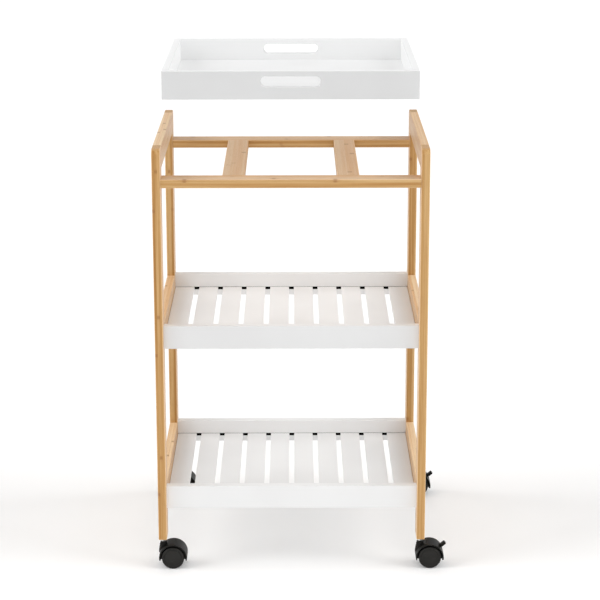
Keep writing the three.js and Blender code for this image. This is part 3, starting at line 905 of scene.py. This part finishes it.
def make_lever(corner):
    """The brake lever: a flat tail through the hood's slot and a broad ribbed pedal."""
    name = f"brake_lever_{corner}"
    tail = rounded_block((-4.5 * MM, -2.9 * MM, -LEVER_HALF),
                         (PEDAL_START + 2 * MM, 2.9 * MM, LEVER_HALF), 0.7 * MM)
    pedal = rounded_block((PEDAL_START, -4.6 * MM, -LEVER_HALF),
                          (PEDAL_END, 4.6 * MM, LEVER_HALF - 0.5 * MM), 1.1 * MM)
    ribs = []
    for k in range(3):
        x = PEDAL_START + (2.4 + 2.5 * k) * MM
        rib = rounded_block((x - 0.5 * MM, -3.6 * MM, LEVER_HALF - 1.5 * MM),
                            (x + 0.5 * MM, 3.6 * MM, LEVER_HALF), 0.3 * MM, 2)
        ribs.append(("UNION", rib))
    mesh = combine(name, pedal, ("UNION", tail), *ribs)
    mesh.transform(lever_place(corner, -LEVER_ANGLE))
    show(f"{name}_moulded", mesh, f"brake_lever_{corner}", [HOOD_BLACK], name)


def stem_collar(middle, radius, low, high):
    """A six-sided collar, and the double cone that takes its corners off at both ends."""
    hexagon = outline_prism(arc(middle, radius, 30, 330, 5), Z, low, high)
    flat = radius * 0.90
    reach = radius + 0.2 * MM
    rise = CHAMFER_RISE * (reach - flat) / (radius - flat)
    cone = [(0, low), (flat, low), (reach, low + rise), (reach, high - rise), (flat, high), (0, high)]
    return hexagon, lathe(cone, Z, (*middle, 0.0), 70)


def stem_thread(middle, start, top):
    """The threaded end above the collar, as turned ridges."""
    points = [(0, start - 1 * MM), (THREAD_ROOT, start - 1 * MM)]
    z = start + 0.4 * MM
    while z < top - 2 * MM:
        points += [(THREAD_ROOT, z), (THREAD_CREST, z + 0.6 * MM), (THREAD_ROOT, z + 1.2 * MM)]
        z += THREAD_PITCH
    points += [(3.0 * MM, top), (0, top)]
    return lathe(points, Z, (*middle, 0.0), 40)


def stem_pin(middle, bottom, top):
    """The smooth swivel pin below the collar, chamfered at its tip."""
    points = [(0, bottom), (PIN_RADIUS - 0.5 * MM, bottom), (PIN_RADIUS, bottom + 0.6 * MM),
              (PIN_RADIUS, top), (0, top)]
    return lathe(points, Z, (*middle, 0.0), 40)


def make_stem(corner):
    """Threaded stem, hexagonal collar with chamfered corners, and swivel pin."""
    name = f"caster_stem_{corner}"
    lo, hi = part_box(name)
    middle = ((lo.x + hi.x) / 2, (lo.y + hi.y) / 2)
    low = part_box(f"caster_hood_{corner}")[1].z + 0.3 * MM
    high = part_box(f"post_{corner}")[0].z - 0.3 * MM
    hexagon, cone = stem_collar(middle, (hi.y - lo.y) / 2, low, high)
    mesh = combine(name, hexagon, ("INTERSECT", cone), ("UNION", stem_thread(middle, high, hi.z)),
                   ("UNION", stem_pin(middle, lo.z, low + 1 * MM)))
    show(f"{name}_turned", mesh, "frame", [STEEL], name)


def make_wheels_and_axle(corner):
    axle = caster_places(corner)[1]
    for place, outward in (("fore", -1), ("aft", 1)):
        node = f"wheel_{corner}_{place}"
        mesh = to_mesh(wheel_mesh(axle, outward), node)
        show(f"{node}_moulded", mesh, node, [WHEEL_BLACK], node)
    axle_node = frame["nodes"][f"caster_axle_{corner}"]
    axle_node.data.materials.clear()
    axle_node.data.materials.append(STEEL)


def make_casters():
    """Four casters; only the right-hand ones have a brake lever."""
    for side in SIDES:
        for end in ENDS:
            corner = f"{end}_{side}"
            brake = side == "right"
            make_hood(corner, brake)
            make_wheels_and_axle(corner)
            make_stem(corner)
            if brake:
                make_lever(corner)


# ---------------------------------------------------------------- bolts
BOLT_HEAD = 3.7 * MM
BOLT_SHANK = 3 * MM
BOLT_BEVEL = 0.7 * MM
KEY_RADIUS, KEY_DEPTH = 2.6 * MM, 2.5 * MM


def make_bolt(level, end, side_name):
    """A furniture bolt: flat head with a bevelled rim and a hexagon socket, and its shank."""
    name = f"bolt_{level}_{end}_{side_name}"
    side = SIDES[side_name]
    lo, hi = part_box(name)
    length, radius = hi.x - lo.x, (hi.z - lo.z) / 2
    points = [(0, 0), (2.2 * MM, 0), (BOLT_SHANK, 0.9 * MM), (BOLT_SHANK, length - BOLT_HEAD),
              (radius, length - BOLT_HEAD), (radius, length - BOLT_BEVEL), (radius - BOLT_BEVEL, length),
              (0, length)]
    tip = lo.x if side > 0 else hi.x
    centre = (tip, (lo.y + hi.y) / 2, (lo.z + hi.z) / 2)
    body = lathe([(r, side * h) for r, h in points], X, centre, 48)
    face = tip + side * length
    low, high = sorted((face - side * KEY_DEPTH, face + side * MM))
    socket = outline_prism(arc(centre[1:], KEY_RADIUS, 32, 332, 5), X, low, high)
    mesh = combine(name, body, ("DIFFERENCE", socket))
    show(f"{name}_plated", mesh, "frame", [STEEL], name)


def make_bolts():
    for side in SIDES:
        for end in ENDS:
            for level in ("tray", "mid", "low"):
                make_bolt(level, end, side)


# ---------------------------------------------------------------- studio
SKY_STRENGTH = 0.29
HORIZON_STRENGTH = 0.74
HORIZON_BAND = (0.12, 0.34)  # sines of the heights where the horizon's glow begins to fade and ends
FLOOR_SIZE = 60.0
FLOOR_GLOW = 0.05  # the table is lit a little from below
LAMPS = {  # name: degrees round from the front, degrees up, softness in degrees, strength
    "left": (-82.0, 34.0, 44.0, 1.62),
    "right": (82.0, 34.0, 44.0, 1.52),
    "front": (0.0, 20.0, 50.0, 0.37),
    "high": (0.0, 58.0, 40.0, 0.26),
    "back": (180.0, 48.0, 50.0, 0.38),
}


def make_stage():
    """A plain pale table that reaches past every view."""
    mesh = bpy.data.meshes.new("studio_floor")
    corners = [(x * FLOOR_SIZE, y * FLOOR_SIZE, 0) for x, y in ((-1, -1), (1, -1), (1, 1), (-1, 1))]
    mesh.from_pydata(corners, [], [(0, 1, 2, 3)])
    floor = bpy.data.objects.new("studio_floor", mesh)
    bpy.context.scene.collection.objects.link(floor)
    g = Graph("studio_floor")
    g.set(Base_Color=colour(0.97, 0.97, 0.97), Roughness=0.9, Specular_IOR_Level=0.1,
          Emission_Color=colour(1.0, 1.0, 1.0), Emission_Strength=FLOOR_GLOW)
    mesh.materials.append(g.material)


def make_lamp(name, around, up, softness, strength):
    """A broad, distant soft lamp."""
    data = bpy.data.lights.new(name, "SUN")
    data.angle, data.energy = math.radians(softness), strength
    lamp = bpy.data.objects.new(name, data)
    azimuth, elevation = math.radians(around), math.radians(up)
    toward = Vector((math.sin(azimuth) * math.cos(elevation), -math.cos(azimuth) * math.cos(elevation),
                     math.sin(elevation)))
    lamp.location = toward * 4.0
    lamp.rotation_euler = toward.to_track_quat("Z", "Y").to_euler()
    bpy.context.scene.collection.objects.link(lamp)


def make_world():
    """An even white studio, brightest round the horizon."""
    world = bpy.data.worlds.new("studio")
    world.use_nodes = True
    tree = world.node_tree
    background = tree.nodes["Background"]
    background.inputs["Color"].default_value = colour(1.0, 1.0, 1.0)
    direction = tree.nodes.new("ShaderNodeTexCoord")
    apart = tree.nodes.new("ShaderNodeSeparateXYZ")
    band = tree.nodes.new("ShaderNodeMapRange")
    band.interpolation_type = "SMOOTHSTEP"
    for key, value in (("From Min", HORIZON_BAND[0]), ("From Max", HORIZON_BAND[1]),
                       ("To Min", SKY_STRENGTH + HORIZON_STRENGTH), ("To Max", SKY_STRENGTH)):
        band.inputs[key].default_value = value
    tree.links.new(direction.outputs["Generated"], apart.inputs["Vector"])
    tree.links.new(apart.outputs["Z"], band.inputs["Value"])
    tree.links.new(band.outputs["Result"], background.inputs["Strength"])
    bpy.context.scene.world = world


def make_studio():
    make_world()
    bpy.context.scene.view_settings.view_transform = "Standard"
    for name, (around, up, softness, strength) in LAMPS.items():
        make_lamp(name, around, up, softness, strength)


def make_camera():
    """The photographer's place: in front of the cart, a little above its top, looking down."""
    distance, height, sideways = 3.63485, 1.43195, 0.00577
    pitch, yaw, roll = 0.25819, -0.00284, -0.00127
    data = bpy.data.cameras.new("photo_camera")
    data.sensor_width, data.lens = 36.0, 121.94
    data.shift_y = -0.02
    data.clip_end = 200.0
    camera = bpy.data.objects.new("photo_camera", data)
    turn = Matrix.Rotation(yaw, 4, "Z") @ Matrix.Rotation(math.pi / 2 - pitch, 4, "X")
    turn = turn @ Matrix.Rotation(roll, 4, "Z")
    camera.matrix_world = Matrix.Translation((sideways, -distance, height)) @ turn
    bpy.context.scene.collection.objects.link(camera)
    bpy.context.scene.camera = camera


make_side_frames()
make_tray_rails()
make_shelves()
make_tray()
make_casters()
make_bolts()
make_stage()
make_studio()
make_camera()
